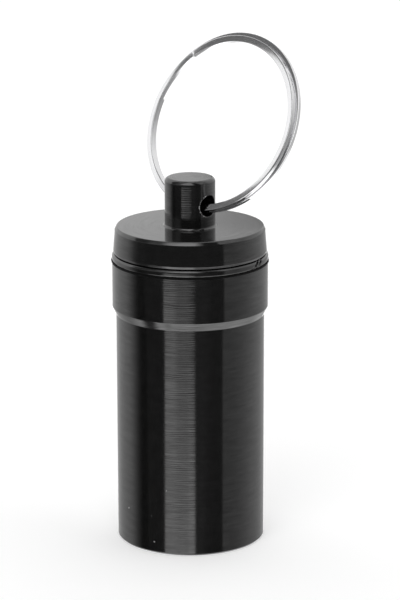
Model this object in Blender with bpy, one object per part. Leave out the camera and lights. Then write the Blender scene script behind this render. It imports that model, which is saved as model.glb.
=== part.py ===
"""Earplug case with a screw cap and a split key ring, at its real size in metres, +Z up.

The canister and the cap are turned parts on the Z axis, and the canister's base stands on Z = 0.
The cap's hollow plug screws down into the canister's collar. A slip ring sits on the plug's
spigot, and a rubber seal below it closes the joint. A two-turn split ring runs through the cross
hole in the cap's post and leans back against it.
"""
import math

import bmesh
import bpy
import numpy as np

MM = 0.001

# Canister
TUBE_DIAMETER = 20.0 * MM
TUBE_WALL = 1.8 * MM
CANISTER_HEIGHT = 38.4 * MM
FLOOR_THICKNESS = 1.8 * MM
FLOOR_FILLET = 0.8 * MM
BASE_CHAMFER = 0.2 * MM
COLLAR_STEP = 0.5 * MM
COLLAR_HEIGHT = 6.0 * MM
COLLAR_CHAMFER_HEIGHT = 1.1 * MM
MOUTH_CHAMFER = 0.9 * MM

# Screw thread between the plug and the collar, right-handed
THREAD_PITCH = 1.5 * MM
THREAD_DEPTH = 0.8 * MM
THREAD_FLANK_ANGLE = math.radians(30.0)
THREAD_CLEARANCE = 0.18 * MM
PLUG_THREAD_LENGTH = 4.2 * MM
THREAD_RUNOUT = 0.3 * MM
THREAD_FADE_LENGTH = 0.75 * MM
THREAD_SPARE_LENGTH = 0.5 * MM
RELIEF_HEIGHT = 0.8 * MM

# Seal and slip ring, stacked on the canister's rim
SEAT_GAP = 0.03 * MM
SEAL_LIP_THICKNESS = 0.25 * MM
SEAL_BULGE = 0.12 * MM
SEAL_BODY_DEPTH = 0.5 * MM
SEAL_CLEARANCE = 0.1 * MM
SLIP_RING_HEIGHT = 0.88 * MM
SLIP_RING_CHAMFER = 0.28 * MM
SLIP_RING_ROUNDING = 0.25 * MM
SLIP_RING_CLEARANCE = 0.15 * MM
PARTING_GAP = 0.15 * MM

# Cap
CAP_WALL_HEIGHT = 3.55 * MM
CAP_WALL_INSET = 0.17 * MM
CAP_WALL_TAPER = 0.23 * MM
CAP_LOWER_CHAMFER = 0.3 * MM
CAP_LOWER_CHAMFER_DEPTH = 0.08 * MM
CAP_TOP_CHAMFER_HEIGHT = 0.43 * MM
CAP_TOP_CHAMFER_DEPTH = 0.25 * MM
PLUG_WALL = 1.4 * MM
PLUG_NOSE_CHAMFER = 0.4 * MM
PLUG_HOLLOW_DEPTH = 6.4 * MM
POST_DIAMETER = 6.8 * MM
POST_HEIGHT = 6.6 * MM
POST_ROUNDING = 0.5 * MM
POST_FILLET = 0.3 * MM

# Cross hole in the post and the split ring that runs through it
HOLE_HEIGHT = 3.1 * MM
HOLE_AZIMUTH = math.radians(-42.0)
HOLE_CLEARANCE = 0.3 * MM
RING_OUTER_DIAMETER = 25.0 * MM
WIRE_WIDTH = 0.88 * MM
WIRE_THICKNESS = 0.6 * MM
WIRE_CORNER = 0.2 * MM
TURN_GAP = 0.06 * MM
TURN_SPREAD = 0.3 * MM
RING_SHIFT = 1.4 * MM
RING_LEAN = math.radians(25.0)
JOG_CENTRE = math.radians(152.0)
JOG_ARC = math.radians(36.0)
END_CLEARANCE = math.radians(1.5)

# Fineness of the meshes
TURNED_SIDES = 48
ARC_STEPS = 4
RING_STEPS_PER_TURN = 60
HOLE_SIDES = 32
SHARP_EDGE_ANGLE = math.radians(28.0)
WELD_DISTANCE = 1e-8
CUTTER_OVERRUN = 1.0 * MM
EMPTY_SIZE = 5.0 * MM

# Radii, from the tube outwards and inwards
tube_radius = TUBE_DIAMETER / 2
collar_radius = tube_radius + COLLAR_STEP
chamber_radius = tube_radius - TUBE_WALL
collar_thread_root = chamber_radius + THREAD_DEPTH
plug_thread_crest = collar_thread_root - THREAD_CLEARANCE
plug_thread_root = chamber_radius - THREAD_CLEARANCE
spigot_radius = plug_thread_crest
hollow_radius = plug_thread_root - PLUG_WALL
slip_ring_bore = spigot_radius + SLIP_RING_CLEARANCE
seal_bore = plug_thread_root + SEAL_CLEARANCE
post_radius = POST_DIAMETER / 2

# Heights, stacked from the base
collar_foot = CANISTER_HEIGHT - COLLAR_HEIGHT
collar_thread_top = CANISTER_HEIGHT - MOUTH_CHAMFER
plug_thread_top = collar_thread_top - THREAD_RUNOUT
plug_thread_bottom = plug_thread_top - PLUG_THREAD_LENGTH
collar_thread_bottom = plug_thread_bottom - THREAD_SPARE_LENGTH
relief_bottom = collar_thread_bottom - RELIEF_HEIGHT
plug_bottom = plug_thread_bottom - PLUG_NOSE_CHAMFER
seal_lip_bottom = CANISTER_HEIGHT + SEAT_GAP
seal_top = seal_lip_bottom + SEAL_LIP_THICKNESS
seal_bottom = seal_lip_bottom - SEAL_BODY_DEPTH
slip_ring_bottom = seal_top + SEAT_GAP
slip_ring_top = slip_ring_bottom + SLIP_RING_HEIGHT
cap_bottom = slip_ring_top + PARTING_GAP
disc_top = cap_bottom + CAP_WALL_HEIGHT
post_top = disc_top + POST_HEIGHT
hole_height = disc_top + HOLE_HEIGHT

# The split ring's centre lines, and the cross hole that clears them
back_circle = RING_OUTER_DIAMETER / 2 - WIRE_WIDTH / 2
front_circle = back_circle - TURN_SPREAD
turn_pitch = WIRE_THICKNESS + TURN_GAP


def height_over_lowest_point(distance):
    """How far the front turn has risen at a distance from its lowest point."""
    return front_circle - math.sqrt(front_circle**2 - distance**2)


wire_rise_in_hole = height_over_lowest_point(RING_SHIFT + post_radius)
ring_drop = wire_rise_in_hole / 2
hole_radius = HOLE_CLEARANCE + math.hypot(WIRE_WIDTH / 2 + ring_drop, WIRE_THICKNESS + TURN_GAP / 2)


def remove_all_objects():
    for old in list(bpy.data.objects):
        bpy.data.objects.remove(old, do_unlink=True)


def make_material(name, colour, metallic, roughness):
    material = bpy.data.materials.new(name)
    material.use_nodes = True
    shader = material.node_tree.nodes["Principled BSDF"]
    shader.inputs["Base Color"].default_value = (*colour, 1.0)
    shader.inputs["Metallic"].default_value = metallic
    shader.inputs["Roughness"].default_value = roughness
    material.diffuse_color = (*colour, 1.0)
    return material


def plain_rows(points):
    """One level ring of vertices for each (radius, height) point of a turned profile."""
    turns = np.linspace(0.0, 1.0, TURNED_SIDES + 1)
    rows = []
    for radius, height in points:
        rows.append(np.stack([turns, np.full_like(turns, radius), np.full_like(turns, height)], axis=1))
    return rows


def arc(centre_radius, centre_height, radius, start, end):
    """Points on an arc of a turned profile, at angles in degrees from the outward direction."""
    angles = np.radians(np.linspace(start, end, ARC_STEPS + 1))
    return [(centre_radius + radius * math.cos(a), centre_height + radius * math.sin(a)) for a in angles]


def thread_rows(inner_radius, outer_radius, bottom, top, faded_radius):
    """Helical rows of vertices along the corners of a truncated V thread, from bottom to top.

    A row climbs one pitch in a turn, counted from Z = 0, so that two threads of one pitch mesh.
    The radii are those of the thread's two flats. Past the ends a row's height is held, and there
    the thread has faded to faded_radius, so that the held vertices meet in one level ring.
    """
    flank = THREAD_DEPTH * math.tan(THREAD_FLANK_ANGLE)
    flat = (THREAD_PITCH - 2 * flank) / 2
    corners = [
        (0.0, inner_radius), (flat, inner_radius), (flat + flank, outer_radius), (2 * flat + flank, outer_radius)]
    turns = np.linspace(0.0, 1.0, TURNED_SIDES + 1)
    rows = []
    for lap in range(math.floor(bottom / THREAD_PITCH) - 2, math.ceil(top / THREAD_PITCH) + 1):
        for offset, radius in corners:
            height = np.clip(lap * THREAD_PITCH + offset + THREAD_PITCH * turns, bottom, top)
            shown = np.clip(np.minimum(height - bottom, top - height) / THREAD_FADE_LENGTH, 0.0, 1.0)
            rows.append(np.stack([turns, faded_radius + shown * (radius - faded_radius), height], axis=1))
    return rows


def turned_solid(name, rows, material):
    """Joins rows of (turn, radius, height) round the Z axis into one closed body, welded at seam and poles."""
    grid = np.stack(rows)
    angle = 2 * math.pi * grid[..., 0]
    places = np.stack([grid[..., 1] * np.cos(angle), grid[..., 1] * np.sin(angle), grid[..., 2]], axis=2)
    row_count, column_count = grid.shape[:2]
    index = np.arange(row_count * column_count).reshape(row_count, column_count)
    quads = np.stack([index[:-1, :-1], index[:-1, 1:], index[1:, 1:], index[1:, :-1]], axis=2).reshape(-1, 4)
    mesh = bpy.data.meshes.new(name)
    mesh.from_pydata(places.reshape(-1, 3).tolist(), [], quads.tolist())
    body = bmesh.new()
    body.from_mesh(mesh)
    bmesh.ops.remove_doubles(body, verts=body.verts, dist=WELD_DISTANCE)
    bmesh.ops.dissolve_degenerate(body, edges=body.edges, dist=WELD_DISTANCE)
    bmesh.ops.recalc_face_normals(body, faces=body.faces)
    body.to_mesh(mesh)
    body.free()
    return add_object(name, mesh, material)


def add_object(name, mesh, material):
    mesh.shade_smooth()
    mesh.set_sharp_from_angle(angle=SHARP_EDGE_ANGLE)
    mesh.materials.append(material)
    thing = bpy.data.objects.new(name, mesh)
    bpy.context.scene.collection.objects.link(thing)
    return thing


def add_empty(name, location, rotation=(0.0, 0.0, 0.0)):
    empty = bpy.data.objects.new(name, None)
    empty.location = location
    empty.rotation_euler = rotation
    empty.empty_display_size = EMPTY_SIZE
    bpy.context.scene.collection.objects.link(empty)
    return empty


def build_canister(material):
    """Tube with a closed floor and a thicker collar, threaded inside."""
    outside = plain_rows([
        (0.0, 0.0),
        (tube_radius - BASE_CHAMFER, 0.0),
        (tube_radius, BASE_CHAMFER),
        (tube_radius, collar_foot - COLLAR_CHAMFER_HEIGHT),
        (collar_radius, collar_foot),
        (collar_radius, CANISTER_HEIGHT),
        (collar_thread_root + MOUTH_CHAMFER, CANISTER_HEIGHT),
        (collar_thread_root, collar_thread_top),
    ])
    thread = thread_rows(
        chamber_radius, collar_thread_root, collar_thread_bottom, collar_thread_top, collar_thread_root)
    fillet = arc(
        chamber_radius - FLOOR_FILLET, FLOOR_THICKNESS + FLOOR_FILLET, FLOOR_FILLET, 0.0, -90.0)
    inside = plain_rows([
        (collar_thread_root, collar_thread_bottom),
        (collar_thread_root, relief_bottom + THREAD_DEPTH),
        (chamber_radius, relief_bottom),
        *fillet,
        (0.0, FLOOR_THICKNESS),
    ])
    return turned_solid("canister", outside + thread[::-1] + inside, material)


def build_cap(material):
    """Disc with a post above it, and below it a spigot, a neck and a hollow threaded plug."""
    wall_foot = collar_radius - CAP_WALL_INSET
    wall_head = wall_foot - CAP_WALL_TAPER
    hollow_ceiling = plug_bottom + PLUG_HOLLOW_DEPTH
    inside = plain_rows([
        (0.0, hollow_ceiling),
        (hollow_radius, hollow_ceiling),
        (hollow_radius, plug_bottom),
        (plug_thread_root - PLUG_NOSE_CHAMFER, plug_bottom),
        (plug_thread_root, plug_thread_bottom),
    ])
    thread = thread_rows(
        plug_thread_root, plug_thread_crest, plug_thread_bottom, plug_thread_top, plug_thread_root)
    fillet = arc(post_radius + POST_FILLET, disc_top + POST_FILLET, POST_FILLET, 270.0, 180.0)
    rounding = arc(post_radius - POST_ROUNDING, post_top - POST_ROUNDING, POST_ROUNDING, 0.0, 90.0)
    outside = plain_rows([
        (plug_thread_root, slip_ring_bottom),
        (spigot_radius, slip_ring_bottom),
        (spigot_radius, cap_bottom),
        (wall_foot - CAP_LOWER_CHAMFER_DEPTH, cap_bottom),
        (wall_foot, cap_bottom + CAP_LOWER_CHAMFER),
        (wall_head, disc_top - CAP_TOP_CHAMFER_HEIGHT),
        (wall_head - CAP_TOP_CHAMFER_DEPTH, disc_top),
        *fillet,
        *rounding,
        (0.0, post_top),
    ])
    cap = turned_solid("cap", inside + thread + outside, material)
    drill_cross_hole(cap)
    return cap


def drill_cross_hole(cap):
    """Cuts the hole for the split ring through the post, along the ring's swing axis."""
    mesh = bpy.data.meshes.new("cross_hole_cutter")
    body = bmesh.new()
    bmesh.ops.create_cone(
        body, cap_ends=True, segments=HOLE_SIDES, radius1=hole_radius, radius2=hole_radius,
        depth=2 * (post_radius + CUTTER_OVERRUN))
    body.to_mesh(mesh)
    body.free()
    cutter = bpy.data.objects.new("cross_hole_cutter", mesh)
    cutter.location = (0.0, 0.0, hole_height)
    cutter.rotation_euler = (0.0, math.pi / 2, HOLE_AZIMUTH)
    cutter.hide_render = True
    cutter.display_type = 'WIRE'
    bpy.context.scene.collection.objects.link(cutter)
    cut = cap.modifiers.new("cross_hole", 'BOOLEAN')
    cut.operation = 'DIFFERENCE'
    cut.object = cutter


def build_seal_ring(material):
    """Rubber ring on the plug's neck: its body lies in the mouth's chamfer, and its lip is squeezed out."""
    lip = SEAL_LIP_THICKNESS / 2
    lip_edge = arc(collar_radius + SEAL_BULGE - lip, seal_lip_bottom + lip, lip, -90.0, 90.0)
    lip_root = collar_thread_root + MOUTH_CHAMFER - SEAT_GAP
    rows = plain_rows([
        (seal_bore, seal_bottom),
        (lip_root - SEAL_BODY_DEPTH, seal_bottom),
        (lip_root, seal_lip_bottom),
        *lip_edge,
        (seal_bore, seal_top),
        (seal_bore, seal_bottom),
    ])
    return turned_solid("seal_ring", rows, material)


def build_slip_ring(material):
    """Ring on the spigot, between the seal and the cap, with a rounded upper and a chamfered lower edge."""
    upper_edge = arc(
        collar_radius - SLIP_RING_ROUNDING, slip_ring_top - SLIP_RING_ROUNDING, SLIP_RING_ROUNDING, 0.0, 90.0)
    rows = plain_rows([
        (slip_ring_bore, slip_ring_bottom),
        (collar_radius - SLIP_RING_CHAMFER, slip_ring_bottom),
        (collar_radius, slip_ring_bottom + SLIP_RING_CHAMFER),
        *upper_edge,
        (slip_ring_bore, slip_ring_top),
        (slip_ring_bore, slip_ring_bottom),
    ])
    return turned_solid("slip_ring", rows, material)


def wire_section():
    """Corners of the flattened wire, as (radial, axial) offsets from its centre line."""
    corner = min(WIRE_CORNER, WIRE_WIDTH / 2, WIRE_THICKNESS / 2)
    half_width = WIRE_WIDTH / 2
    half_thickness = WIRE_THICKNESS / 2
    points = []
    for radial_side, axial_side in ((1, 1), (-1, 1), (-1, -1), (1, -1)):
        on_width = (radial_side * half_width, axial_side * (half_thickness - corner))
        on_thickness = (radial_side * (half_width - corner), axial_side * half_thickness)
        between = (
            radial_side * (half_width - corner * (1 - math.sqrt(0.5))),
            axial_side * (half_thickness - corner * (1 - math.sqrt(0.5))))
        pair = (on_width, between, on_thickness)
        points.extend(pair if radial_side == axial_side else pair[::-1])
    return np.array(points)


def build_split_ring(material):
    """Flat wire wound twice round, that jogs from the back turn to the front one between its two ends.

    In its own frame the ring stands on end in the XZ plane: X is the axis of the cross hole, and
    the origin is the middle of that hole. Angles are measured from +X, up towards +Z. The back
    turn, at +Y, is sprung open a little wider than the front one, and they meet in the hole.
    """
    first = JOG_CENTRE + JOG_ARC / 2 + END_CLEARANCE
    last = JOG_CENTRE + 4 * math.pi - JOG_ARC / 2 - END_CLEARANCE
    steps = round(RING_STEPS_PER_TURN * (last - first) / (2 * math.pi))
    angle = np.linspace(first, last, steps + 1)
    passed = np.clip((angle - (JOG_CENTRE + 2 * math.pi - JOG_ARC / 2)) / JOG_ARC, 0.0, 1.0)
    back_share = (1.0 - passed * passed * (3 - 2 * passed))[:, None]
    circle = front_circle + TURN_SPREAD * back_share
    section = wire_section()
    radial = circle + section[None, :, 0]
    places = np.stack([
        RING_SHIFT + radial * np.cos(angle)[:, None],
        turn_pitch * (back_share - 0.5) + section[None, :, 1],
        circle - ring_drop + radial * np.sin(angle)[:, None],
    ], axis=2)
    corner_count = len(section)
    index = np.arange(places.shape[0] * corner_count).reshape(-1, corner_count)
    following = np.roll(index, -1, axis=1)
    sides = np.stack([index[:-1], following[:-1], following[1:], index[1:]], axis=2).reshape(-1, 4)
    mesh = bpy.data.meshes.new("split_ring")
    ends = [index[0].tolist(), index[-1].tolist()]
    mesh.from_pydata(places.reshape(-1, 3).tolist(), [], sides.tolist() + ends)
    body = bmesh.new()
    body.from_mesh(mesh)
    bmesh.ops.recalc_face_normals(body, faces=body.faces)
    body.to_mesh(mesh)
    body.free()
    return add_object("split_ring", mesh, material)


def build_case():
    remove_all_objects()
    black_anodised = make_material("black_anodised_aluminium", (0.012, 0.012, 0.013), 0.6, 0.22)
    black_ring = make_material("black_anodised_ring", (0.014, 0.014, 0.015), 0.6, 0.2)
    black_cap = make_material("black_anodised_cap", (0.012, 0.012, 0.013), 0.6, 0.2)
    black_rubber = make_material("black_rubber", (0.006, 0.006, 0.006), 0.0, 0.7)
    bright_steel = make_material("bright_steel", (0.78, 0.78, 0.79), 1.0, 0.12)

    build_canister(black_anodised)
    screw_axis = add_empty("cap_screw_axis", (0.0, 0.0, 0.0))
    ring_pivot = add_empty("ring_pivot", (0.0, 0.0, hole_height), (-RING_LEAN, 0.0, HOLE_AZIMUTH))
    ring_pivot.parent = screw_axis
    for piece in (build_cap(black_cap), build_slip_ring(black_ring), build_seal_ring(black_rubber)):
        piece.parent = screw_axis
    bpy.data.objects["cross_hole_cutter"].parent = screw_axis
    build_split_ring(bright_steel).parent = ring_pivot


build_case()
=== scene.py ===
"""Dresses the earplug case: fine turned surfaces, black anodised, rubber and steel finishes, and a white studio.

The lengths are in metres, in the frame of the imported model: the case stands on Z = 0 with its axis on Z, and
the photograph is taken from -Y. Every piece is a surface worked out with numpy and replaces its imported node.
"""
from __future__ import annotations

import logging
import math
from dataclasses import dataclass
from enum import Enum

import bmesh
import bpy
import numpy as np
from mathutils import Euler, Matrix


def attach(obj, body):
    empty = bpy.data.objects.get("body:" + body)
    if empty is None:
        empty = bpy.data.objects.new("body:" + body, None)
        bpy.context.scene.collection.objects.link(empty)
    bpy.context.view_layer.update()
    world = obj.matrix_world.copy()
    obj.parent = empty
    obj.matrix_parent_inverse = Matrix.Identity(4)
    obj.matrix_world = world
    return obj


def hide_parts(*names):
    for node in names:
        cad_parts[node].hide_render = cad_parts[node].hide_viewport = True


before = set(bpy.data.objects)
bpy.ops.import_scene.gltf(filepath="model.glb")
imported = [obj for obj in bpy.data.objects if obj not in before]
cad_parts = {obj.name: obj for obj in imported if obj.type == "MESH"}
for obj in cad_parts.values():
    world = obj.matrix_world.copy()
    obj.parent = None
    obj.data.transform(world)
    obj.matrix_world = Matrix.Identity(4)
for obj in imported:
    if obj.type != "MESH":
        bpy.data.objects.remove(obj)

MM = 0.001
WELD_DISTANCE = 2e-8
SHARP_EDGE_ANGLE = math.radians(34.0)
GUARD = 0.03 * MM

log = logging.getLogger("earplug_case")


class Slot(Enum):
    """The names of the record's material slots."""

    CANISTER = "black_anodised_aluminium"
    CAP = "black_anodised_cap"
    SLIP_RING = "black_anodised_ring"
    SEAL = "black_rubber"
    WIRE = "bright_steel"


# Meshes


def mesh_from_grids(name: str, grids: list[np.ndarray]) -> bpy.types.Mesh:
    """Joins grids of points into one closed mesh.

    Each grid is an array (rows, columns, 3). Its quads run between neighbouring rows and columns. Points that
    fall together, at seams, poles and shared borders, are welded, and the faces are turned outwards.

    Args:
        name: The mesh's name.
        grids: The grids of points.

    Returns:
        The welded mesh.
    """
    points = np.concatenate([grid.reshape(-1, 3) for grid in grids])
    quads = []
    first = 0
    for grid in grids:
        index = first + np.arange(grid.shape[0] * grid.shape[1]).reshape(grid.shape[:2])
        corners = [index[:-1, :-1], index[:-1, 1:], index[1:, 1:], index[1:, :-1]]
        quads.append(np.stack(corners, axis=2).reshape(-1, 4))
        first += index.size
    mesh = bpy.data.meshes.new(name)
    mesh.from_pydata(points.tolist(), [], np.concatenate(quads).tolist())
    body = bmesh.new()
    body.from_mesh(mesh)
    bmesh.ops.remove_doubles(body, verts=body.verts, dist=WELD_DISTANCE)
    bmesh.ops.dissolve_degenerate(body, edges=body.edges, dist=WELD_DISTANCE)
    bmesh.ops.recalc_face_normals(body, faces=body.faces)
    body.to_mesh(mesh)
    body.free()
    return mesh


def rounded_profile(corners: list[tuple[float, float, float]], steps: int = 6) -> np.ndarray:
    """A turned profile whose corners are rounded by arcs.

    At a corner with a radius, the arc touches both neighbouring lines: it starts the radius times the tangent
    of half the turning angle before the corner, and ends as far after it. Its centre lies on the corner's
    bisector. A straight run has one more point close to each arc, so that its shading stays straight.

    Args:
        corners: (radius, height, rounding) of each corner, in order. The two ends aren't rounded.
        steps: Steps in each arc.

    Returns:
        An array (points, 2) of radius and height.
    """
    places = np.array([corner[:2] for corner in corners])
    arcs = [places[:1]]
    for before, here, after, (_, _, rounding) in zip(places, places[1:], places[2:], corners[1:-1]):
        if rounding == 0.0:
            arcs.append(here[None])
            continue
        into = (here - before) / np.linalg.norm(here - before)
        out = (after - here) / np.linalg.norm(after - here)
        turning = math.acos(np.clip(into @ out, -1.0, 1.0))
        reach = rounding * math.tan(turning / 2)
        side = math.copysign(1.0, into[0] * out[1] - into[1] * out[0])
        across = side * np.array([-into[1], into[0]])
        swept = np.linspace(0.0, turning, steps + 1)[:, None]
        start = here - reach * into
        arcs.append(start + rounding * (np.sin(swept) * into + (1.0 - np.cos(swept)) * across))
    arcs.append(places[-1:])
    points = [arcs[0]]
    for arc, following in zip(arcs, arcs[1:]):
        run = following[0] - arc[-1]
        length = np.linalg.norm(run)
        if length > 3 * GUARD:
            step = GUARD * run / length
            if len(arc) > 1:
                points.append(arc[-1:] + step)
            if len(following) > 1:
                points.append(following[:1] - step)
        points.append(following)
    return np.concatenate(points)


def level_rows(profile: np.ndarray, turns: np.ndarray) -> np.ndarray:
    """Turns a profile round the Z axis.

    Args:
        profile: An array (rows, 2) of radius and height.
        turns: Where the columns stand, in turns from +X.

    Returns:
        An array (rows, columns, 3) of turn, radius and height.
    """
    shape = (len(profile), len(turns))
    return np.stack([
        np.broadcast_to(turns, shape),
        np.broadcast_to(profile[:, :1], shape),
        np.broadcast_to(profile[:, 1:], shape),
    ], axis=2)


def round_the_axis(rows: np.ndarray) -> np.ndarray:
    """Points in space from turn, radius and height: x = r cos(2 pi t), y = r sin(2 pi t), z = h."""
    angle = 2 * math.pi * rows[..., 0]
    return np.stack([rows[..., 1] * np.cos(angle), rows[..., 1] * np.sin(angle), rows[..., 2]], axis=2)


@dataclass(frozen=True)
class Thread:
    """A truncated V thread on the Z axis, between two heights, with softened corners."""

    root: float
    crest: float
    bottom: float
    top: float
    faded: float
    pitch: float = 1.5 * MM
    depth: float = 0.8 * MM
    flank_angle: float = math.radians(30.0)
    fade_length: float = 0.75 * MM
    softening: float = 0.16

    def rows(self, turns: np.ndarray) -> np.ndarray:
        """Helical rows from bottom to top, counted from Z = 0 so that the two threads mesh.

        A row stands at height = pitch * (lap + turn) + offset, held between the ends. Its radius lies between
        root and crest by its offset in the tooth, and fades to one radius towards the ends.

        Args:
            turns: Where the columns stand, in turns from +X.

        Returns:
            An array (rows, columns, 3) of turn, radius and height.
        """
        flank = self.depth * math.tan(self.flank_angle)
        flat = (self.pitch - 2 * flank) / 2
        soft = self.softening * flat
        offsets = np.array([
            0.0, soft, flat - soft, flat, flat + flank * self.softening, flat + flank * (1 - self.softening),
            flat + flank, flat + flank + soft, 2 * flat + flank - soft, 2 * flat + flank,
            2 * flat + flank + flank * self.softening, self.pitch - flank * self.softening])
        share = np.interp(
            offsets, [0.0, flat, flat + flank, 2 * flat + flank, self.pitch], [0.0, 0.0, 1.0, 1.0, 0.0])
        share[[0, 3]] += self.softening / 3
        share[[6, 9]] -= self.softening / 3
        laps = np.arange(math.floor(self.bottom / self.pitch) - 2, math.ceil(self.top / self.pitch) + 2)
        start = (self.pitch * laps[:, None] + offsets[None, :]).reshape(-1, 1)
        radius = np.tile(self.root + share * (self.crest - self.root), len(laps))[:, None]
        height = np.clip(start + self.pitch * turns[None, :], self.bottom, self.top)
        shown = np.clip(np.minimum(height - self.bottom, self.top - height) / self.fade_length, 0.0, 1.0)
        shown = shown * shown * (3 - 2 * shown)
        return np.stack([
            np.broadcast_to(turns, height.shape), self.faded + shown * (radius - self.faded), height], axis=2)


def add_piece(
        mesh: bpy.types.Mesh, material: bpy.types.Material, body: str, node: str) -> bpy.types.Object:
    """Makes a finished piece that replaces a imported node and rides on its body.

    Args:
        mesh: The piece's mesh, in place.
        material: Its finish.
        body: The body that carries it.
        node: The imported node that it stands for.

    Returns:
        The piece.
    """
    mesh.shade_smooth()
    mesh.set_sharp_from_angle(angle=SHARP_EDGE_ANGLE)
    mesh.materials.append(material)
    piece = bpy.data.objects.new(mesh.name, mesh)
    bpy.context.scene.collection.objects.link(piece)
    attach(piece, body)
    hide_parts(node)
    log.info("%s: %d faces, rides on %s", piece.name, len(mesh.polygons), body)
    return piece


# Finishes


class Graph:
    """A short hand for building a node tree."""

    def __init__(self, tree: bpy.types.NodeTree) -> None:
        """Keeps the tree that the nodes go into.

        Args:
            tree: The node tree of a material or a world.
        """
        self.tree = tree

    def add(self, kind: str, inputs: dict | None = None, **settings: object) -> bpy.types.Node:
        """Adds a node.

        Args:
            kind: The node's type name.
            inputs: For an input's name or number, the value or the output that it takes.
            **settings: The node's own properties.

        Returns:
            The node.
        """
        node = self.tree.nodes.new(kind)
        for key, value in settings.items():
            setattr(node, key, value)
        for key, value in (inputs or {}).items():
            if isinstance(value, bpy.types.NodeSocket):
                self.tree.links.new(value, node.inputs[key])
            else:
                node.inputs[key].default_value = value
        return node

    def math(self, operation: str, *values: object) -> bpy.types.NodeSocket:
        """The output of a Math node over one, two or three values."""
        return self.add("ShaderNodeMath", dict(enumerate(values)), operation=operation).outputs[0]

    def ramp(
            self, value: object, low: float, high: float, start: float = 0.0,
            end: float = 1.0) -> bpy.types.NodeSocket:
        """A smooth step of value: start below low, end above high."""
        inputs = {"Value": value, "From Min": low, "From Max": high, "To Min": start, "To Max": end}
        return self.add("ShaderNodeMapRange", inputs, interpolation_type='SMOOTHSTEP').outputs["Result"]

    def noise(self, vector: object, scale: float, detail: float = 2.0, roughness: float = 0.5) -> bpy.types.NodeSocket:
        """Fractal noise from 0 to 1 at a place."""
        inputs = {"Vector": vector, "Scale": scale, "Detail": detail, "Roughness": roughness}
        return self.add("ShaderNodeTexNoise", inputs).outputs["Fac"]

    def blend(self, factor: object, low: object, high: object) -> bpy.types.NodeSocket:
        """A number between two, by a factor."""
        return self.add("ShaderNodeMix", {0: factor, 2: low, 3: high}, data_type='FLOAT').outputs[0]

    def blend_colour(self, factor: object, low: object, high: object) -> bpy.types.NodeSocket:
        """A colour between two, by a factor."""
        return self.add("ShaderNodeMix", {0: factor, 6: low, 7: high}, data_type='RGBA').outputs[2]


def new_material(name: str, constants: dict[str, object]) -> tuple[bpy.types.Material, Graph, bpy.types.Node]:
    """A material with a Principled shader and its constant values.

    Args:
        name: The material's name.
        constants: The shader's inputs that are the same all over.

    Returns:
        The material, its graph and its shader.
    """
    material = bpy.data.materials.new(name)
    material.use_nodes = True
    shader = material.node_tree.nodes["Principled BSDF"]
    for key, value in constants.items():
        shader.inputs[key].default_value = value
    return material, Graph(material.node_tree), shader


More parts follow.
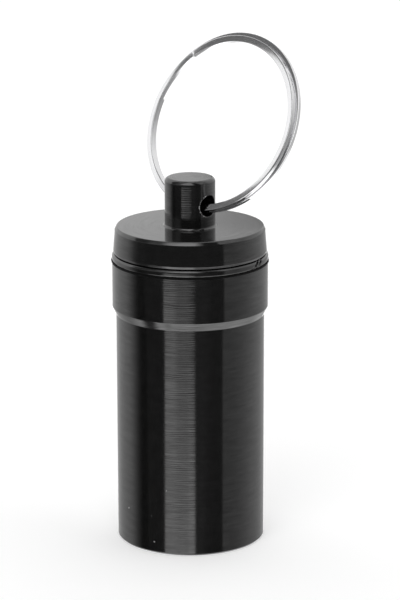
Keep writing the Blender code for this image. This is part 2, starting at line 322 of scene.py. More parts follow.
@dataclass(frozen=True)
class AnodisedFinish:
    """Glossy black anodised aluminium, with the fine rings that the turning tool left, and light wear."""

    name: str
    colour: float = 0.0065
    roughness: float = 0.07
    refraction: float = 1.75
    ring_depth: float = 4.2e-6
    feed: float = 0.30 * MM
    feed_wander: float = 2.2
    round_share: float = 0.1
    ring_scale: float = 4200.0
    grain_scale: float = 8000.0
    patch_scale: float = 2800.0
    bare_colour: float = 0.62
    dust_top: float = 0.0
    bare_rim: bool = False
    rim_azimuth: float = math.radians(-42.0)
    rim_height: float = 46.39 * MM
    rim_radius: float = 1.47 * MM
    rim_depth: float = 3.33 * MM

    def material(self) -> bpy.types.Material:
        """The finish as a node material.

        The rings are waves and noise over radius plus height, so they run round walls, faces and chamfers
        alike. A second noise that also varies slowly round the part breaks them up. Bare metal shows in chips
        on the cross hole's rim, and dust in sparse specks.

        Returns:
            The material.
        """
        constants = {"IOR": self.refraction, "Metallic": 0.0}
        material, graph, shader = new_material(self.name, constants)
        place = graph.add("ShaderNodeTexCoord").outputs["Object"]
        split = graph.add("ShaderNodeSeparateXYZ", {0: place})
        radius = graph.math(
            'SQRT', graph.math('ADD', graph.math('POWER', split.outputs[0], 2.0),
                               graph.math('POWER', split.outputs[1], 2.0)))
        along = graph.math('ADD', radius, split.outputs[2])
        rings = graph.add("ShaderNodeCombineXYZ", {2: along}).outputs[0]
        broken = graph.add("ShaderNodeCombineXYZ", {
            0: graph.math('MULTIPLY', split.outputs[0], self.round_share),
            1: graph.math('MULTIPLY', split.outputs[1], self.round_share), 2: along}).outputs[0]
        wander = graph.math('MULTIPLY', graph.noise(broken, 1300.0, 3.0), self.feed * self.feed_wander)
        turned = graph.math('MULTIPLY', graph.math('ADD', along, wander), 2 * math.pi / self.feed)
        clear = graph.ramp(graph.noise(broken, 900.0, 2.0), 0.35, 0.65, 0.12, 0.5)
        feed_lines = graph.math('MULTIPLY', graph.math('SINE', turned), clear)
        grain = graph.math('MULTIPLY', graph.noise(broken, self.grain_scale, 2.0), 0.8)
        fine = graph.math('ADD', graph.noise(rings, self.ring_scale, 3.0, 0.65), grain)
        height = graph.math('ADD', fine, feed_lines)
        strength = graph.ramp(graph.noise(broken, 700.0, 2.0), 0.3, 0.7, 0.45, 1.0)
        bump = graph.add(
            "ShaderNodeBump", {"Height": graph.math('MULTIPLY', height, strength), "Distance": self.ring_depth,
                               "Strength": 1.0})
        graph.tree.links.new(bump.outputs[0], shader.inputs["Normal"])
        mottle = graph.noise(place, 900.0, 3.0)
        tone = graph.ramp(mottle, 0.3, 0.7, self.colour * 0.8, self.colour * 1.2)
        if self.bare_rim:
            tone = graph.blend(self.rim_mask(graph, split, radius), tone, self.bare_colour)
        if self.dust_top > 0.0:
            tone = graph.blend(self.dust_mask(graph, place, split), tone, self.bare_colour)
        colour = graph.add("ShaderNodeCombineColor", {0: tone, 1: tone, 2: tone}).outputs[0]
        patchy = graph.noise(broken, self.patch_scale, 3.0, 0.7)
        streaks = graph.blend(graph.math('ADD', feed_lines, 0.5), patchy, 0.55)
        rough = graph.ramp(streaks, 0.35, 0.7, self.roughness * 0.8, self.roughness * 2.2)
        shine = graph.ramp(streaks, 0.32, 0.68, 0.68, 0.38)
        graph.tree.links.new(colour, shader.inputs["Base Color"])
        graph.tree.links.new(rough, shader.inputs["Roughness"])
        graph.tree.links.new(shine, shader.inputs["Specular IOR Level"])
        return material

    def rim_mask(
            self, graph: Graph, split: bpy.types.Node, radius: bpy.types.NodeSocket) -> bpy.types.NodeSocket:
        """Chips on one side of the hole's rim: a narrow band about its circle, broken by noise.

        Args:
            graph: The material's graph.
            split: The node that gives x, y and z.
            radius: The distance from the part's axis.

        Returns:
            The mask, from 0 to 1.
        """
        cos, sin = math.cos(self.rim_azimuth), math.sin(self.rim_azimuth)
        x, y, z = split.outputs
        outward = graph.math('ADD', graph.math('MULTIPLY', x, cos), graph.math('MULTIPLY', y, sin))
        aside = graph.math('ADD', graph.math('MULTIPLY', x, -sin), graph.math('MULTIPLY', y, cos))
        up = graph.math('SUBTRACT', z, self.rim_height)
        distance = graph.math('SQRT', graph.math('ADD', graph.math('POWER', aside, 2.0), graph.math('POWER', up, 2.0)))
        off = graph.math('ABSOLUTE', graph.math('SUBTRACT', distance, self.rim_radius))
        band = graph.ramp(off, 0.08 * MM, 0.16 * MM, 1.0, 0.0)
        place = graph.add("ShaderNodeCombineXYZ", {0: outward, 1: aside, 2: up}).outputs[0]
        chips = graph.ramp(graph.noise(place, 5200.0, 3.0, 0.7), 0.51, 0.55)
        front = graph.math('MULTIPLY', graph.ramp(outward, 0.5 * MM, 1.0 * MM),
                           graph.ramp(radius, self.rim_depth - 0.05 * MM, self.rim_depth))
        left = graph.ramp(aside, -0.75 * MM, -0.25 * MM, 1.0, 0.0)
        return graph.math(
            'MULTIPLY', graph.math('MULTIPLY', band, chips), graph.math('MULTIPLY', front, left))

    def dust_mask(self, graph: Graph, place: bpy.types.NodeSocket, split: bpy.types.Node) -> bpy.types.NodeSocket:
        """Sparse specks low on the left: small spheres about some of the points of a Voronoi scatter.

        Args:
            graph: The material's graph.
            place: The object coordinates.
            split: The node that gives x, y and z.

        Returns:
            The mask, from 0 to 1.
        """
        cells = graph.add("ShaderNodeTexVoronoi", {"Vector": place, "Scale": 620.0})
        speck = graph.ramp(cells.outputs["Distance"], 0.04, 0.08, 1.0, 0.0)
        pick = graph.add("ShaderNodeSeparateColor", {0: cells.outputs["Color"]}).outputs[0]
        low = graph.ramp(split.outputs[2], self.dust_top * 0.4, self.dust_top, 1.0, 0.0)
        side = graph.ramp(split.outputs[0], -4.0 * MM, -2.0 * MM, 1.0, 0.0)
        shown = graph.math('MULTIPLY', graph.ramp(pick, 0.4, 0.42), graph.math('MULTIPLY', low, side))
        return graph.math('MULTIPLY', speck, shown)


@dataclass(frozen=True)
class RubberFinish:
    """Matt black seal rubber."""

    name: str = "black_rubber"
    colour: float = 0.0025
    roughness: float = 0.62
    grain_scale: float = 9000.0
    grain_depth: float = 6e-6

    def material(self) -> bpy.types.Material:
        """The finish as a node material: fine grain in tone, roughness and height.

        Returns:
            The material.
        """
        material, graph, shader = new_material(self.name, {"IOR": 1.5, "Specular IOR Level": 0.1})
        place = graph.add("ShaderNodeTexCoord").outputs["Object"]
        grain = graph.noise(place, self.grain_scale, 3.0)
        tone = graph.ramp(grain, 0.3, 0.7, self.colour * 0.7, self.colour * 1.4)
        graph.tree.links.new(
            graph.add("ShaderNodeCombineColor", {0: tone, 1: tone, 2: tone}).outputs[0], shader.inputs["Base Color"])
        graph.tree.links.new(
            graph.ramp(grain, 0.2, 0.8, self.roughness - 0.08, self.roughness + 0.1), shader.inputs["Roughness"])
        bump = graph.add("ShaderNodeBump", {"Height": grain, "Distance": self.grain_depth, "Strength": 1.0})
        graph.tree.links.new(bump.outputs[0], shader.inputs["Normal"])
        return material


@dataclass(frozen=True)
class SteelFinish:
    """Bright plated steel wire, with drawing lines along it."""

    name: str = "bright_steel"
    colour: tuple[float, float, float] = (0.80, 0.80, 0.81)
    roughness: float = 0.12
    lines_along: float = 300.0
    lines_across: float = 9000.0
    pit_scale: float = 7000.0
    mark_depth: float = 1.2e-6

    def material(self) -> bpy.types.Material:
        """The finish as a node material: lines along the wire from its UV map, and fine pits.

        Returns:
            The material.
        """
        material, graph, shader = new_material(self.name, {"Metallic": 1.0})
        place = graph.add("ShaderNodeTexCoord")
        stretch = graph.add("ShaderNodeMapping", {
            "Vector": place.outputs["UV"], "Scale": (self.lines_along, self.lines_across, 1.0)})
        lines = graph.noise(stretch.outputs[0], 1.0, 3.0)
        pits = graph.noise(place.outputs["Object"], self.pit_scale, 2.0)
        tone = graph.ramp(lines, 0.25, 0.75, 0.94, 1.0)
        colour = graph.add("ShaderNodeCombineColor", {
            0: graph.math('MULTIPLY', tone, self.colour[0]), 1: graph.math('MULTIPLY', tone, self.colour[1]),
            2: graph.math('MULTIPLY', tone, self.colour[2])}).outputs[0]
        graph.tree.links.new(colour, shader.inputs["Base Color"])
        graph.tree.links.new(
            graph.ramp(pits, 0.3, 0.75, self.roughness * 0.8, self.roughness * 1.6), shader.inputs["Roughness"])
        height = graph.math('ADD', lines, graph.math('MULTIPLY', pits, 0.5))
        bump = graph.add("ShaderNodeBump", {"Height": height, "Distance": self.mark_depth, "Strength": 1.0})
        graph.tree.links.new(bump.outputs[0], shader.inputs["Normal"])
        return material


# Pieces


@dataclass(frozen=True)
class Canister:
    """The turned tube: closed flat floor, thicker collar with a cone under it, thread inside the collar."""

    tube_radius: float = 10.0 * MM
    collar_radius: float = 10.5 * MM
    chamber_radius: float = 8.2 * MM
    thread_root: float = 9.0 * MM
    height: float = 38.4 * MM
    collar_foot: float = 32.4 * MM
    cone_foot: float = 31.3 * MM
    base_chamfer: float = 0.2 * MM
    floor: float = 1.8 * MM
    floor_fillet: float = 0.8 * MM
    mouth_chamfer: float = 0.9 * MM
    thread_bottom: float = 32.5 * MM
    relief_bottom: float = 31.7 * MM
    edge_break: float = 0.12 * MM
    lip_break: float = 0.035 * MM
    columns: int = 288

    def mesh(self) -> bpy.types.Mesh:
        """The outer profile up to the mouth, the thread down, and the chamber down to the floor's middle.

        Returns:
            The canister's mesh.
        """
        turns = np.linspace(0.0, 1.0, self.columns + 1)
        thread_top = self.height - self.mouth_chamfer
        outside = rounded_profile([
            (0.0, 0.0, 0.0),
            (self.tube_radius - self.base_chamfer, 0.0, 0.1 * MM),
            (self.tube_radius, self.base_chamfer, 0.2 * MM),
            (self.tube_radius, self.cone_foot, 0.06 * MM),
            (self.collar_radius, self.collar_foot, 0.1 * MM),
            (self.collar_radius, self.height, self.lip_break),
            (self.thread_root + self.mouth_chamfer, self.height, self.edge_break),
            (self.thread_root, thread_top, 0.0),
        ])
        inside = rounded_profile([
            (self.thread_root, self.thread_bottom, 0.0),
            (self.chamber_radius, self.relief_bottom, self.edge_break),
            (self.chamber_radius, self.floor, self.floor_fillet),
            (0.0, self.floor, 0.0),
        ])
        thread = Thread(self.chamber_radius, self.thread_root, self.thread_bottom, thread_top, self.thread_root)
        rows = [level_rows(outside, turns), thread.rows(turns)[::-1], level_rows(inside, turns)]
        return mesh_from_grids("canister_turned", [round_the_axis(np.concatenate(rows))])

    def build(self, finish: AnodisedFinish) -> bpy.types.Object:
        """Makes and dresses the canister."""
        return add_piece(self.mesh(), finish.material(), "canister", "canister")


@dataclass(frozen=True)
class Cap:
    """The turned cap: disc with a post above it, and a spigot, a neck and a hollow threaded plug below."""

    wall_foot: float = 10.33 * MM
    wall_head: float = 10.10 * MM
    bottom: float = 39.74 * MM
    disc_top: float = 43.29 * MM
    lower_chamfer: tuple[float, float] = (0.08 * MM, 0.3 * MM)
    top_chamfer: tuple[float, float] = (0.25 * MM, 0.43 * MM)
    post_radius: float = 3.4 * MM
    post_top: float = 49.89 * MM
    post_fillet: float = 0.3 * MM
    post_rounding: float = 0.62 * MM
    spigot_radius: float = 8.82 * MM
    spigot_foot: float = 38.71 * MM
    neck_radius: float = 8.02 * MM
    plug_bottom: float = 32.6 * MM
    thread_bottom: float = 33.0 * MM
    thread_top: float = 37.2 * MM
    nose_chamfer: float = 0.4 * MM
    hollow_radius: float = 6.62 * MM
    hollow_ceiling: float = 39.0 * MM
    hole_radius: float = 1.442 * MM
    hole_height: float = 46.39 * MM
    hole_azimuth: float = math.radians(-42.0)
    hole_rim: float = 0.07 * MM
    columns: int = 288
    patch_rows: int = 72
    patch_rings: int = 22
    bore_rings: int = 16

    def profiles(self) -> tuple[np.ndarray, np.ndarray, np.ndarray]:
        """The turned profiles below and above the post's drilled wall.

        Returns:
            The hollow's, from its ceiling to the plug's nose; the outside's, from the thread's top to the foot
            of the post's wall; and the head's, from the top of that wall to the middle.
        """
        hollow = rounded_profile([
            (0.0, self.hollow_ceiling, 0.0),
            (self.hollow_radius, self.hollow_ceiling, 0.3 * MM),
            (self.hollow_radius, self.plug_bottom, 0.1 * MM),
            (self.neck_radius - self.nose_chamfer, self.plug_bottom, 0.1 * MM),
            (self.neck_radius, self.thread_bottom, 0.0),
        ])
        outside = rounded_profile([
            (self.neck_radius, self.thread_top, 0.0),
            (self.neck_radius, self.spigot_foot, 0.0),
            (self.spigot_radius, self.spigot_foot, 0.05 * MM),
            (self.spigot_radius, self.bottom, 0.0),
            (self.wall_foot - self.lower_chamfer[0], self.bottom, 0.03 * MM),
            (self.wall_foot, self.bottom + self.lower_chamfer[1], 0.1 * MM),
            (self.wall_head, self.disc_top - self.top_chamfer[1], 0.3 * MM),
            (self.wall_head - self.top_chamfer[0], self.disc_top, 0.2 * MM),
            (self.post_radius, self.disc_top, self.post_fillet),
            (self.post_radius, self.disc_top + 2 * self.post_fillet, 0.0),
        ])[:-1]
        head = rounded_profile([
            (self.post_radius, self.disc_top + 2 * self.post_fillet, 0.0),
            (self.post_radius, self.post_top, self.post_rounding),
            (0.0, self.post_top, 0.0),
        ], steps=20)[1:]
        return hollow, outside, head

    def on_wall(self, azimuth: float, arc: np.ndarray, height: np.ndarray) -> np.ndarray:
        """Points on the post's wall, from arc length round from an azimuth, and height."""
        angle = azimuth + arc / self.post_radius
        return np.stack([self.post_radius * np.cos(angle), self.post_radius * np.sin(angle), height], axis=-1)

    def drilled_wall(self, foot: float, head: float) -> list[np.ndarray]:
        """The post's wall with the cross hole through it.

        The wall unrolls into four panels. The two with an opening are polar grids: from the hole's rim, where
        arc = R asin(h cos(a) / R) and height = h sin(a), each line runs straight out to the panel's border.
        The rim is a bend from the wall into the bore, a blend of three points with weights (1-s)^2, 2s(1-s)
        and s^2. The bore runs straight from rim to rim, whose points are numbered in opposite directions.

        Args:
            foot: Height of the wall's lower border.
            head: Height of its upper border.

        Returns:
            The grids of the two drilled panels, the two plain ones, the rims and the bore.
        """
        half_arc = self.post_radius * math.pi / 4
        across = np.linspace(-half_arc, half_arc, self.columns // 4 + 1)
        up = np.linspace(foot, head, self.patch_rows + 1)
        border = np.concatenate([
            np.stack([across[:-1], np.full(len(across) - 1, foot)], axis=1),
            np.stack([np.full(len(up) - 1, half_arc), up[:-1]], axis=1),
            np.stack([across[:0:-1], np.full(len(across) - 1, head)], axis=1),
            np.stack([np.full(len(up) - 1, -half_arc), up[:0:-1]], axis=1),
            np.array([[-half_arc, foot]]),
        ])
        turn = np.arctan2(border[:, 1] - self.hole_height, border[:, 0])
        axis = np.array([math.cos(self.hole_azimuth), math.sin(self.hole_azimuth), 0.0])

        def wall_ring(radius: float) -> np.ndarray:
            """Arc and height of a circle of that radius about the hole, laid on the wall."""
            arc = self.post_radius * np.arcsin(radius * np.cos(turn) / self.post_radius)
            return np.stack([arc, self.hole_height + radius * np.sin(turn)], axis=1)

        share = np.linspace(0.0, 1.0, self.patch_rings + 1)[:, None, None] ** 1.5
        start = wall_ring(self.hole_radius + self.hole_rim)
        panel = start + share * (border - start)
        bend = np.linspace(0.0, 1.0, 7)[:, None, None]
        grids = []
        bore_ends = []
        for azimuth, way in ((self.hole_azimuth, 1.0), (self.hole_azimuth + math.pi, -1.0)):
            grids.append(self.on_wall(azimuth, panel[..., 0], panel[..., 1]))
            outer = self.on_wall(azimuth, start[:, 0], start[:, 1])
            edge_ring = wall_ring(self.hole_radius)
            edge = self.on_wall(azimuth, edge_ring[:, 0], edge_ring[:, 1])
            inner = edge - way * self.hole_rim * axis
            grids.append((1 - bend) ** 2 * outer + 2 * bend * (1 - bend) * edge + bend**2 * inner)
            bore_ends.append(inner)
            plain_arc = np.linspace(half_arc, 3 * half_arc, self.columns // 4 + 1)
            grids.append(self.on_wall(azimuth, *np.meshgrid(plain_arc, up)))
        count = len(border) - 1
        opposite = (self.columns // 4 - np.arange(count + 1)) % count
        along = np.linspace(0.0, 1.0, self.bore_rings + 1)[:, None, None]
        grids.append(bore_ends[0] + along * (bore_ends[1][opposite] - bore_ends[0]))
        return grids

    def mesh(self) -> bpy.types.Mesh:
        """The turned rows and the drilled wall, welded.

        Returns:
            The cap's mesh.
        """
        turns = self.hole_azimuth / (2 * math.pi) + np.linspace(0.0, 1.0, self.columns + 1) - 0.125
        hollow, outside, head = self.profiles()
        thread = Thread(
            self.neck_radius, self.spigot_radius, self.thread_bottom, self.thread_top, self.neck_radius)
        below = np.concatenate([level_rows(hollow, turns), thread.rows(turns), level_rows(outside, turns)])
        wall = self.drilled_wall(outside[-1, 1], head[0, 1])
        return mesh_from_grids(
            "cap_turned", [round_the_axis(below), *wall, round_the_axis(level_rows(head, turns))])

    def build(self, finish: AnodisedFinish) -> bpy.types.Object:
        """Makes and dresses the cap."""
        return add_piece(self.mesh(), finish.material(), "cap", "cap")


@dataclass(frozen=True)
class SlipRing:
    """The thin glossy ring on the cap's spigot."""

    bore: float = 8.97 * MM
    radius: float = 10.5 * MM
    bottom: float = 38.71 * MM
    top: float = 39.59 * MM
    lower_cone: tuple[float, float] = (0.05 * MM, 0.16 * MM)
    rounding: float = 0.38 * MM
    nicks: tuple[tuple[float, float], ...] = ((-34.2, 0.32), (-29.0, 0.28))
    nick_width: float = 1.0
    nick_slope: float = 5.0
    columns: int = 1080

    def mesh(self) -> bpy.types.Mesh:
        """Its closed section, turned.

        Each nick is a slanted chip out of the top edge: radius and height are less by depth * exp(-(a / w)^2),
        where a is the angle from the nick's own line, which leans as it rises, and less so below the edge.

        Returns:
            The slip ring's mesh.
        """
        profile = rounded_profile([
            (self.bore, (self.bottom + self.top) / 2, 0.0),
            (self.bore, self.bottom, 0.06 * MM),
            (self.radius - self.lower_cone[0], self.bottom, 0.04 * MM),
            (self.radius, self.bottom + self.lower_cone[1], 0.25 * MM),
            (self.radius, self.top, self.rounding),
            (self.bore, self.top, 0.06 * MM),
            (self.bore, (self.bottom + self.top) / 2, 0.0),
        ])
        turns = np.linspace(0.0, 1.0, self.columns + 1)
        rows = level_rows(profile, turns).copy()
        middle = (self.bottom + self.top) / 2
        outer = np.clip((rows[..., 1] - self.radius) / (0.4 * MM) + 1.0, 0.0, 1.0)
        above = np.clip((rows[..., 2] - middle) / (0.25 * MM) + 0.6, 0.15, 1.0)
        for azimuth, depth in self.nicks:
            line = azimuth + self.nick_slope * (rows[..., 2] - middle) / (0.5 * MM)
            off = (360 * rows[..., 0] - line + 180.0) % 360.0 - 180.0
            chip = outer * above * depth * MM * np.exp(-((off / self.nick_width) ** 2))
            rows[..., 1] -= chip
            rows[..., 2] -= np.where(rows[..., 2] > middle, chip, 0.0)
        return mesh_from_grids("slip_ring_turned", [round_the_axis(rows)])

    def build(self, finish: AnodisedFinish) -> bpy.types.Object:
        """Makes and dresses the slip ring."""
        return add_piece(self.mesh(), finish.material(), "cap_seat", "slip_ring")


@dataclass(frozen=True)
class SealRing:
    """The rubber seal: its body lies in the canister's mouth, and its lip is squeezed out unevenly."""

    bore: float = 8.12 * MM
    body_bottom: float = 37.93 * MM
    lip_bottom: float = 38.43 * MM
    top: float = 38.68 * MM
    lip_root: float = 9.87 * MM
    body_depth: float = 0.5 * MM
    lip_reach: float = 10.62 * MM
    unevenness: float = 0.045 * MM
    columns: int = 576

    def mesh(self) -> bpy.types.Mesh:
        """Its closed section, turned, with the lip's reach less a sum of three waves round the ring.

        Returns:
            The seal's mesh.
        """
        lip = (self.top - self.lip_bottom) / 2
        profile = rounded_profile([
            (self.bore, (self.body_bottom + self.top) / 2, 0.0),
            (self.bore, self.body_bottom, 0.05 * MM),
            (self.lip_root - self.body_depth, self.body_bottom, 0.05 * MM),
            (self.lip_root, self.lip_bottom, 0.05 * MM),
            (self.lip_reach, self.lip_bottom, 0.98 * lip),
            (self.lip_reach, self.top, 0.98 * lip),
            (self.bore, self.top, 0.05 * MM),
            (self.bore, (self.body_bottom + self.top) / 2, 0.0),
        ])
        turns = np.linspace(0.0, 1.0, self.columns + 1)
        rows = level_rows(profile, turns).copy()
        angle = 2 * math.pi * turns
        wave = (np.sin(5 * angle + 0.7) + np.sin(23 * angle + 2.0) + np.sin(61 * angle)) / 3
        out = np.clip((rows[..., 1] - self.lip_root) / (self.lip_reach - self.lip_root), 0.0, 1.0)
        rows[..., 1] -= out * self.unevenness * (1 + wave)
        return mesh_from_grids("seal_ring_pressed", [round_the_axis(rows)])

    def build(self, finish: RubberFinish) -> bpy.types.Object:
        """Makes and dresses the seal."""
        return add_piece(self.mesh(), finish.material(), "cap_seat", "seal_ring")


@dataclass(frozen=True)
class SplitRing:
    """Flat wire wound twice, that jogs from the wider back turn to the front one, and leans back in the hole."""

    outer_diameter: float = 25.0 * MM
    box_margin: float = 0.003 * MM
    wire_width: float = 0.88 * MM
    wire_thickness: float = 0.6 * MM
    section_power: float = 8.0
    section_roll: float = math.radians(10.0)
    flat_at: float = math.radians(102.0)
    turn_gap: float = 0.06 * MM
    turn_spread: float = 0.3 * MM
    shift: float = 1.4 * MM
    drop: float = 0.512 * MM
    lean: float = math.radians(25.0)
    azimuth: float = math.radians(-42.0)
    pivot_height: float = 46.39 * MM
    jog_centre: float = math.radians(152.0)
    jog_arc: float = math.radians(36.0)
    end_clearance: float = math.radians(1.5)
    end_rounding: float = 0.08 * MM
    steps: int = 520
    section_points: int = 48

    def mesh(self) -> bpy.types.Mesh:
        """The wire's surface over two parameters: the angle along the coil, and the angle round the section.

        The section is |x / a|^n + |y / b|^n = 1. It follows a circle whose radius and offset pass smoothly
        from the back turn's to the front turn's over the jog, and rolls slowly, by -roll * sin(flat - angle). On
        its right side the back turn passes smoothly to the whole roll the other way. At both ends the section
        shrinks by a quarter circle to a rounded end, and closes on its centre.

        Returns:
            The wire's mesh, with its UV map.
        """
        first = self.jog_centre + self.jog_arc / 2 + self.end_clearance
        last = self.jog_centre + 4 * math.pi - self.jog_arc / 2 - self.end_clearance
        bend = np.linspace(0.0, math.pi / 2, 6)[:-1]
        from_end = self.end_rounding * (1 - np.cos(bend)) / (self.outer_diameter / 2)
        inset = self.end_rounding * (1 - np.sin(bend))
        whole = np.linspace(first + self.end_rounding / (self.outer_diameter / 2),
                            last - self.end_rounding / (self.outer_diameter / 2), self.steps)
        angle = np.concatenate([[first], first + from_end, whole, last - from_end[::-1], [last]])
        shrink = np.concatenate([inset, np.zeros(self.steps), inset[::-1]])[:, None]
        closed = np.zeros((1, 1))
        half_width = np.concatenate([closed, self.wire_width / 2 - shrink, closed])
        half_depth = np.concatenate([closed, self.wire_thickness / 2 - shrink, closed])
        passed = np.clip((angle - (self.jog_centre + 2 * math.pi - self.jog_arc / 2)) / self.jog_arc, 0.0, 1.0)
        back = (1.0 - passed * passed * (3 - 2 * passed))[:, None]
        reach = (self.wire_width * math.cos(self.section_roll) + self.wire_thickness * math.sin(self.section_roll)) / 2
        front_circle = self.outer_diameter / 2 - self.box_margin - reach - self.turn_spread
        circle = front_circle + self.turn_spread * back
        around = np.linspace(0.0, 2 * math.pi, self.section_points + 1)
        power = 2 / self.section_power
        cos, sin = np.round(np.cos(around), 12), np.round(np.sin(around), 12)
        across = np.sign(cos) * np.abs(cos) ** power
        deep = np.sign(sin) * np.abs(sin) ** power
        tilt = -np.sin(self.flat_at - angle)[:, None]
        right = np.clip(np.cos(angle), 0.0, 1.0)[:, None]
        roll = self.section_roll * (tilt + back * right * (1.0 - tilt))
        radial = circle + half_width * across * np.cos(roll) - half_depth * deep * np.sin(roll)
        pitch = self.wire_thickness + self.turn_gap
        local = np.stack([
            self.shift + radial * np.cos(angle)[:, None],
            pitch * (back - 0.5) + half_width * across * np.sin(roll) + half_depth * deep * np.cos(roll),
            circle - self.drop + radial * np.sin(angle)[:, None],
        ], axis=2)
        mesh = mesh_from_grids("split_ring_wound", [self.placed(local)])
        self.unwrap(mesh)
        return mesh

    def placed(self, local: np.ndarray) -> np.ndarray:
        """Leans points back about the hole's axis, turns them to its azimuth and lifts them to its height.

        Args:
            local: An array (..., 3) of points in the ring's own plane, from the hole's middle.

        Returns:
            The points in place.
        """
        x, y, z = np.moveaxis(local, 2, 0)
        lean_y = y * math.cos(self.lean) + z * math.sin(self.lean)
        lean_z = -y * math.sin(self.lean) + z * math.cos(self.lean)
        cos, sin = math.cos(self.azimuth), math.sin(self.azimuth)
        return np.stack([x * cos - lean_y * sin, x * sin + lean_y * cos, lean_z + self.pivot_height], axis=2)

    def unwrap(self, mesh: bpy.types.Mesh) -> None:
        """Gives the wire a UV map: metres along the coil, and metres across it from the ring's middle.

        Args:
            mesh: The wire's mesh, in place.
        """
        points = np.empty(len(mesh.vertices) * 3)
        mesh.vertices.foreach_get("co", points)
        points = points.reshape(-1, 3)
        centre = points.mean(axis=0)
        cos, sin = math.cos(self.azimuth), math.sin(self.azimuth)
        right = np.array([cos, sin, 0.0])
        upward = np.array([-sin * math.sin(self.lean), cos * math.sin(self.lean), math.cos(self.lean)])
        from_middle = points - centre
        east, north = from_middle @ right, from_middle @ upward
        along = np.arctan2(north, east) * self.outer_diameter / 2
        across = np.hypot(east, north) + from_middle @ np.cross(upward, right)
        corner_vertex = np.empty(len(mesh.loops), dtype=np.int64)
        mesh.loops.foreach_get("vertex_index", corner_vertex)
        layer = mesh.uv_layers.new(name="wire")
        layer.data.foreach_set("uv", np.stack([along, across], axis=1)[corner_vertex].ravel())

    def build(self, finish: SteelFinish) -> bpy.types.Object:
        """Makes and dresses the split ring."""
        return add_piece(self.mesh(), finish.material(), "split_ring", "split_ring")


# Studio


@dataclass(frozen=True)
class Panel:
    """A soft-edged patch of the studio's surround, as the object sees it."""

    level: float
    azimuth: float = 0.0
    half_width: float = 360.0
    edge: float = 1.0
    elevation: float = 0.0
    half_height: float = 180.0
    elevation_edge: float = 4.0
    slant: float = 0.0


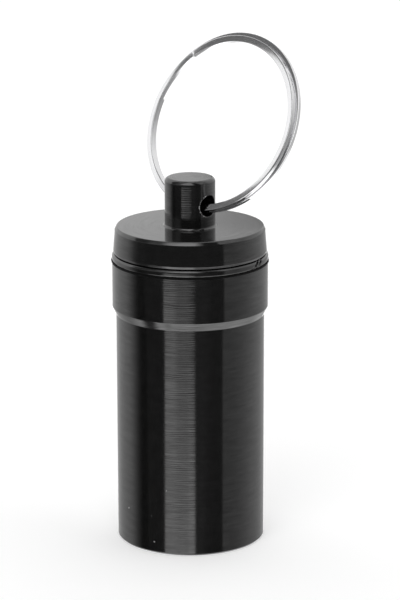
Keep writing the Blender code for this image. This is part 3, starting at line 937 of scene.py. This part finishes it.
@dataclass(frozen=True)
class Studio:
    """A white floor, a white surround with darker and brighter parts, and the camera.

    Azimuths are degrees from the camera's side, to the right, and elevations are degrees above the horizon. A
    later panel is laid over the earlier ones.
    """

    surround: float = 0.95
    panels: tuple[Panel, ...] = (
        # In the floor's place, and the edges of the walls' reflections
        Panel(level=0.65, elevation=-45.0, half_height=47.0, elevation_edge=6.0),
        Panel(level=0.74, azimuth=-148.0, half_width=33.0, edge=14.0, elevation=-4.0, half_height=12.0,
              elevation_edge=3.0),
        Panel(level=0.60, azimuth=120.0, half_width=60.0, edge=4.0, elevation=-12.0, half_height=14.0),
        Panel(level=1.05, azimuth=112.0, half_width=48.0, edge=10.0, elevation=-43.0, half_height=17.0),
        # A strip light and a dark card behind the case
        Panel(level=1.5, azimuth=178.0, half_width=13.0, edge=2.0, elevation=-14.0, half_height=13.0),
        Panel(level=0.22, azimuth=176.0, half_width=4.0, edge=1.5, elevation=8.0, half_height=6.0,
              elevation_edge=1.2),
        # Under the case: bright for the cone, darker right below
        Panel(level=1.8, elevation=-90.0, half_height=45.0, elevation_edge=8.0),
        Panel(level=0.35, elevation=-90.0, half_height=21.0),
        # White boards at the back left, which the wire shows
        Panel(level=1.02, azimuth=-140.0, half_width=40.0, edge=2.5, elevation=29.0, half_height=31.0),
        Panel(level=1.15, azimuth=-116.5, half_width=26.0, edge=1.5, elevation=28.0, half_height=26.0),
        # Dark cards right and left of the camera, between the walls' strips
        Panel(level=0.34, azimuth=58.0, half_width=32.0, edge=28.0, elevation=-5.0, half_height=33.0),
        Panel(level=0.02, azimuth=-40.0, half_width=56.0, edge=16.0, elevation=-18.0, half_height=20.0),
        # Dark cards at the left, which the wire shows
        Panel(level=0.15, azimuth=-74.0, half_width=20.5, edge=1.5, elevation=2.0, half_height=8.0,
              elevation_edge=8.0),
        Panel(level=0.15, azimuth=-84.4, half_width=25.0, edge=1.5, elevation=38.0, half_height=28.0,
              elevation_edge=8.0, slant=-0.9),
        Panel(level=0.12, azimuth=-88.0, half_width=12.0, edge=5.0, elevation=-48.0, half_height=16.0),
        # Dark cards above the camera and behind the top light
        Panel(level=0.06, azimuth=-10.0, half_width=61.0, edge=1.5, elevation=27.0, half_height=65.0),
        Panel(level=0.06, azimuth=170.0, half_width=61.0, edge=1.5, elevation=77.0, half_height=14.0,
              elevation_edge=6.0),
        # The sky over the disc, its paler corner and a card at the right
        Panel(level=1.2, azimuth=166.0, half_width=31.0, edge=10.0, elevation=66.0, half_height=26.0,
              elevation_edge=6.0),
        Panel(level=0.40, azimuth=-58.0, half_width=14.0, edge=7.0, elevation=37.0, half_height=32.0,
              elevation_edge=6.0),
        Panel(level=0.15, azimuth=16.0, half_width=6.0, edge=5.0, elevation=-18.0, half_height=8.0),
        # The strip light on the walls, and where it is brighter, dimmer and cut off
        Panel(level=1.26, azimuth=-23.9, half_width=23.6, edge=1.2, elevation=-37.2, half_height=23.7,
              elevation_edge=2.6, slant=0.36),
        Panel(level=2.3, azimuth=-17.5, half_width=22.0, edge=2.0, elevation=-33.0, half_height=9.5,
              elevation_edge=1.5),
        Panel(level=0.62, azimuth=-9.0, half_width=13.0, edge=6.0, elevation=-15.2, half_height=2.6,
              elevation_edge=2.2),
        Panel(level=0.10, azimuth=15.0, half_width=14.0, edge=6.5, elevation=-15.5, half_height=3.3,
              elevation_edge=1.5, slant=-2.0),
        # The thin line on the lower walls, the cone's light and the top light
        Panel(level=1.60, azimuth=1.5, half_width=5.0, edge=2.5, elevation=-24.0, half_height=6.0,
              elevation_edge=1.4),
        Panel(level=2.1, azimuth=-18.0, half_width=25.0, edge=3.0, elevation=-51.0, half_height=14.0,
              elevation_edge=6.0),
        Panel(level=1.8, azimuth=-14.0, half_width=31.0, edge=10.0, elevation=57.0, half_height=35.0,
              elevation_edge=5.0),
    )
    floor_size: float = 6.0
    floor_drop: float = 0.02 * MM
    floor_colour: float = 0.8
    floor_glow: float = 0.37
    lens: float = 168.71
    sensor: float = 36.0
    camera_place: tuple[float, float, float] = (0.0, -0.3656, 0.1314)
    camera_pitch: float = math.radians(15.081)
    camera_yaw: float = math.radians(0.205)
    camera_roll: float = math.radians(-0.119)

    def build(self) -> None:
        """Makes the floor, the surround and the camera."""
        self.build_floor()
        self.build_surround()
        self.build_camera()
        log.info("studio: floor, surround of %d panels and camera", len(self.panels))

    def build_floor(self) -> None:
        """A wide white plane that shows the object's shadow, and that no reflection shows."""
        half = self.floor_size / 2
        mesh = bpy.data.meshes.new("floor")
        corners = [(-half, -half), (half, -half), (half, half), (-half, half)]
        mesh.from_pydata([(x, y, -self.floor_drop) for x, y in corners], [], [(0, 1, 2, 3)])
        material, graph, shader = new_material("floor_white", {"Roughness": 0.9, "Specular IOR Level": 0.0})
        shader.inputs["Base Color"].default_value = (*[self.floor_colour] * 3, 1.0)
        shader.inputs["Emission Color"].default_value = (1.0, 1.0, 1.0, 1.0)
        path = graph.add("ShaderNodeLightPath")
        glow = graph.math('MULTIPLY', path.outputs["Is Camera Ray"], self.floor_glow)
        graph.tree.links.new(glow, shader.inputs["Emission Strength"])
        mesh.materials.append(material)
        floor = bpy.data.objects.new("floor", mesh)
        floor.visible_glossy = False
        bpy.context.scene.collection.objects.link(floor)

    def build_surround(self) -> None:
        """The world: white to the camera, and the panels laid over an even surround to everything else.

        A panel's mask is the product of a smooth step over the angle from its azimuth and one over the angle
        from its elevation. A slanted panel's azimuth moves with the elevation. The level is blended towards the
        panel's by that mask.
        """
        world = bpy.data.worlds.new("studio")
        bpy.context.scene.world = world
        world.use_nodes = True
        graph = Graph(world.node_tree)
        background = world.node_tree.nodes["Background"]
        way = graph.add("ShaderNodeTexCoord").outputs["Generated"]
        height = graph.add("ShaderNodeSeparateXYZ", {0: way}).outputs[2]
        elevation = graph.math('MULTIPLY', graph.math('ARCSINE', height), 180 / math.pi)
        level: object = self.surround
        for panel in self.panels:
            turn = math.radians(panel.azimuth)
            ahead = graph.add(
                "ShaderNodeVectorMath", {0: way, 1: (math.sin(turn), -math.cos(turn), 0.0)},
                operation='DOT_PRODUCT').outputs["Value"]
            aside = graph.add(
                "ShaderNodeVectorMath", {0: way, 1: (math.cos(turn), math.sin(turn), 0.0)},
                operation='DOT_PRODUCT').outputs["Value"]
            above = graph.math('SUBTRACT', elevation, panel.elevation)
            round_to = graph.math('MULTIPLY', graph.math('ARCTAN2', aside, ahead), 180 / math.pi)
            off_azimuth = graph.math(
                'ABSOLUTE', graph.math('SUBTRACT', round_to, graph.math('MULTIPLY', above, panel.slant)))
            off_elevation = graph.math('ABSOLUTE', above)
            mask = graph.math(
                'MULTIPLY',
                graph.ramp(off_azimuth, panel.half_width - panel.edge, panel.half_width + panel.edge, 1.0, 0.0),
                graph.ramp(off_elevation, panel.half_height - panel.elevation_edge,
                           panel.half_height + panel.elevation_edge, 1.0, 0.0))
            level = graph.blend(mask, level, panel.level)
        to_camera = graph.add("ShaderNodeLightPath").outputs["Is Camera Ray"]
        graph.tree.links.new(graph.blend(to_camera, level, 1.0), background.inputs["Strength"])
        background.inputs["Color"].default_value = (1.0, 1.0, 1.0, 1.0)

    def build_camera(self) -> None:
        """The camera, at the photograph's place and angle."""
        data = bpy.data.cameras.new("camera")
        data.lens = self.lens
        data.sensor_width = self.sensor
        data.clip_start = 0.01
        data.clip_end = 20.0
        camera = bpy.data.objects.new("camera", data)
        camera.location = self.camera_place
        aim = Euler((math.pi / 2 - self.camera_pitch, 0.0, -self.camera_yaw)).to_matrix()
        camera.rotation_euler = (aim @ Matrix.Rotation(self.camera_roll, 3, 'Z')).to_euler()
        bpy.context.scene.collection.objects.link(camera)
        bpy.context.scene.camera = camera
        bpy.context.scene.view_settings.view_transform = 'Standard'


def main() -> None:
    """Builds the pieces in the order of the case, from its base to its ring, and then the studio."""
    logging.basicConfig(level=logging.INFO, format="%(name)s: %(message)s")
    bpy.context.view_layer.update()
    Canister().build(AnodisedFinish("black_anodised_canister", dust_top=14.0 * MM))
    Cap().build(AnodisedFinish("black_anodised_cap", bare_rim=True))
    SlipRing().build(AnodisedFinish("black_anodised_slip_ring"))
    SealRing().build(RubberFinish())
    SplitRing().build(SteelFinish())
    Studio().build()


if __name__ == "__main__":
    main()
